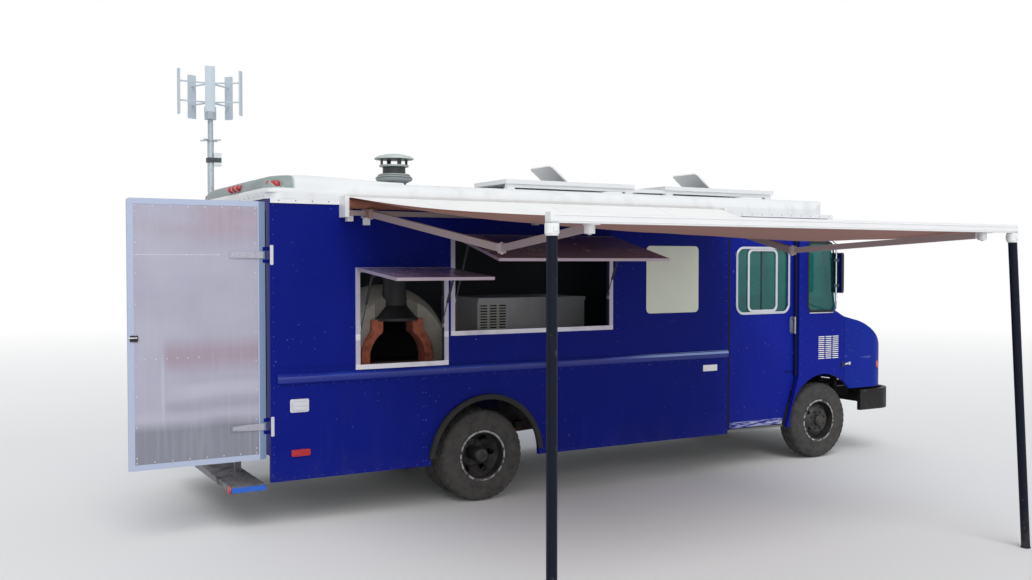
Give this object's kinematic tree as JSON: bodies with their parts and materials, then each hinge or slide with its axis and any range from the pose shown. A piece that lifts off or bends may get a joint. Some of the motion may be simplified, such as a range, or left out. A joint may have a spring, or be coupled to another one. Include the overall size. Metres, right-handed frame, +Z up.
{
  "type": "food truck",
  "caption": "Step van food truck with raised hatch lids, a wood oven, folding-arm awning on posts, roof panels and a wind turbine.",
  "frame": {"origin": "centre of the whole object's bounding box in plan, at ground level", "axes": "+X forward along the truck, +Y to its left, +Z up"},
  "size_m": [7.985, 5.6605, 3.85],
  "materials": {
    "body_paint": "gloss",
    "roof_shell": "satin",
    "black_metal": "satin",
    "tyre": "matte",
    "rubber": "matte",
    "aluminium": "satin",
    "stainless": "satin",
    "plaster": "matte",
    "glass": "gloss",
    "chrome": "polished",
    "cloth": "matte",
    "seat": "matte",
    "solar_cells": "gloss",
    "iron": "matte",
    "dark_plastic": "matte",
    "white_plastic": "satin",
    "grey_metal": "satin"
  },
  "bodies": {
    "truck": {"arch_lips": "rubber", "axles": "black_metal", "awning_cloth": "cloth", "awning_frame": "aluminium", "awning_posts": "black_metal", "cab_front": "body_paint", "cab_glass": "glass", "chassis_frame": "black_metal", "chimney": "black_metal", "driver_seat": "seat", "engine_block": "iron", "engine_cover": "dark_plastic", "entry_steps": "aluminium", "exhaust": "stainless", "floor": "aluminium", "front_bumper": "black_metal", "fuel_tank": "aluminium", "hatch_frames": "aluminium", "leaf_springs": "black_metal", "mirrors": "chrome", "oven": "plaster", "oven_stand": "black_metal", "prep_counter": "stainless", "rear_portal": "body_paint", "rear_step": "aluminium", "roof_cap": "roof_shell", "side_wall_left": "body_paint", "side_wall_right": "body_paint", "skirt_panels": "body_paint", "solar_panels": "solar_cells", "turbine_mast": "grey_metal", "wheel_boxes": "aluminium"},
    "knuckle_left": {"knuckle_left": "iron"},
    "knuckle_right": {"knuckle_right": "iron"},
    "wheel_front_left": {"tyre_front_left": "tyre", "rim_front_left": "black_metal"},
    "wheel_front_right": {"tyre_front_right": "tyre", "rim_front_right": "black_metal"},
    "wheel_rear_left": {"tyre_rear_left": "tyre", "rim_rear_left": "black_metal"},
    "wheel_rear_right": {"tyre_rear_right": "tyre", "rim_rear_right": "black_metal"},
    "rear_door_left": {"rear_door_left": "aluminium"},
    "rear_door_right": {"rear_door_right": "aluminium"},
    "cab_door_left": {"cab_door_left": "body_paint", "door_glass_left": "glass"},
    "cab_door_right": {"cab_door_right": "body_paint", "door_glass_right": "glass"},
    "hood": {"hood": "body_paint", "grille": "black_metal"},
    "vent_lid_rear": {"roof_vent_lid_rear": "white_plastic"},
    "vent_lid_front": {"roof_vent_lid_front": "white_plastic"},
    "turbine_rotor": {"turbine_rotor": "white_plastic"},
    "steering_wheel": {"steering_wheel": "dark_plastic"},
    "oven_lid": {"oven_lid": "body_paint"},
    "oven_strut_tubes": {"oven_strut_tubes": "black_metal"},
    "oven_strut_rods": {"oven_strut_rods": "chrome"},
    "serving_lid": {"serving_lid": "body_paint"},
    "serving_strut_tubes": {"serving_strut_tubes": "black_metal"},
    "serving_strut_rods": {"serving_strut_rods": "chrome"}
  },
  "joints": [
    {"name": "steer_left", "type": "hinge", "parent": "truck", "child": "knuckle_left", "pos_m": [2.8845, 2.15874, 0.393], "axis": [0, 0, 1], "range_deg": [-32, 32]},
    {"name": "wheel_front_left_spin", "type": "hinge", "parent": "knuckle_left", "child": "wheel_front_left", "pos_m": [2.8845, 2.30824, 0.393], "axis": [0, 1, 0], "continuous": true},
    {"name": "wheel_rear_left_spin", "type": "hinge", "parent": "truck", "child": "wheel_rear_left", "pos_m": [-1.1075, 2.18574, 0.393], "axis": [0, 1, 0], "continuous": true},
    {"name": "steer_right", "type": "hinge", "parent": "truck", "child": "knuckle_right", "pos_m": [2.8845, 0.66274, 0.393], "axis": [0, 0, 1], "range_deg": [-32, 32]},
    {"name": "wheel_front_right_spin", "type": "hinge", "parent": "knuckle_right", "child": "wheel_front_right", "pos_m": [2.8845, 0.51324, 0.393], "axis": [0, 1, 0], "continuous": true},
    {"name": "wheel_rear_right_spin", "type": "hinge", "parent": "truck", "child": "wheel_rear_right", "pos_m": [-1.1075, 0.63574, 0.393], "axis": [0, 1, 0], "continuous": true},
    {"name": "steering_wheel_turn", "type": "hinge", "parent": "truck", "child": "steering_wheel", "pos_m": [2.5875, 1.88074, 1.49], "axis": [-0.5299, 0, 0.848], "range_deg": [-512, 512]},
    {"name": "rear_door_right_hinge", "type": "hinge", "parent": "truck", "child": "rear_door_right", "pos_m": [-3.0025, 0.40674, 1.45], "axis": [0, 0, 1], "range_deg": [-90, 90]},
    {"name": "rear_door_left_hinge", "type": "hinge", "parent": "truck", "child": "rear_door_left", "pos_m": [-3.0025, 2.41474, 1.45], "axis": [0, 0, 1], "range_deg": [-180, 0]},
    {"name": "cab_door_right_slide", "type": "slide", "parent": "truck", "child": "cab_door_right", "axis": [-1, 0, 0], "range_m": [0, 0.78]},
    {"name": "cab_door_left_slide", "type": "slide", "parent": "truck", "child": "cab_door_left", "axis": [-1, 0, 0], "range_m": [0, 0.78]},
    {"name": "hood_tilt", "type": "hinge", "parent": "truck", "child": "hood", "pos_m": [3.8155, 1.41074, 0.745], "axis": [0, 1, 0], "range_deg": [0, 55]},
    {"name": "vent_lid_rear_hinge", "type": "hinge", "parent": "truck", "child": "vent_lid_rear", "pos_m": [0.7375, 1.99074, 2.792], "axis": [0, 1, 0], "range_deg": [-38, 0]},
    {"name": "vent_lid_front_hinge", "type": "hinge", "parent": "truck", "child": "vent_lid_front", "pos_m": [2.6675, 1.99074, 2.792], "axis": [0, 1, 0], "range_deg": [-38, 0]},
    {"name": "turbine_spin", "type": "hinge", "parent": "truck", "child": "turbine_rotor", "pos_m": [-2.8925, 2.54074, 3.7], "axis": [0, 0, 1], "continuous": true},
    {"name": "oven_lid_hinge", "type": "hinge", "parent": "truck", "child": "oven_lid", "pos_m": [-1.879, 0.32274, 2.001], "axis": [1, 0, 0], "range_deg": [0, 85]},
    {"name": "oven_strut_swing", "type": "hinge", "parent": "oven_lid", "child": "oven_strut_tubes", "pos_m": [-1.879, 0.12664, 1.94771], "axis": [1, 0, 0], "range_deg": [-115.69, 0]},
    {"name": "oven_strut_slide", "type": "slide", "parent": "oven_strut_tubes", "child": "oven_strut_rods", "axis": [0, 0.493, -0.8701], "range_m": [-0.21291, 0]},
    {"name": "serving_lid_hinge", "type": "hinge", "parent": "truck", "child": "serving_lid", "pos_m": [-0.627, 0.32274, 2.276], "axis": [1, 0, 0], "range_deg": [0, 76]},
    {"name": "serving_strut_swing", "type": "hinge", "parent": "serving_lid", "child": "serving_strut_tubes", "pos_m": [-0.627, 0.13739, 2.19268], "axis": [1, 0, 0], "range_deg": [-103.59, 0]},
    {"name": "serving_strut_slide", "type": "slide", "parent": "serving_strut_tubes", "child": "serving_strut_rods", "axis": [0, 0.4425, -0.8968], "range_m": [-0.17323, 0]}
  ],
  "couplings": [
    {"joint": "steer_right", "follows": "steer_left", "ratio": 1},
    {"joint": "steering_wheel_turn", "follows": "steer_left", "ratio": 16},
    {"joint": "oven_strut_swing", "follows": "oven_lid_hinge", "ratio": -1.3375},
    {"joint": "oven_strut_slide", "follows": "oven_lid_hinge", "m_per_rad": -0.14082},
    {"joint": "serving_strut_swing", "follows": "serving_lid_hinge", "ratio": -1.3367},
    {"joint": "serving_strut_slide", "follows": "serving_lid_hinge", "m_per_rad": -0.12759}
  ]
}
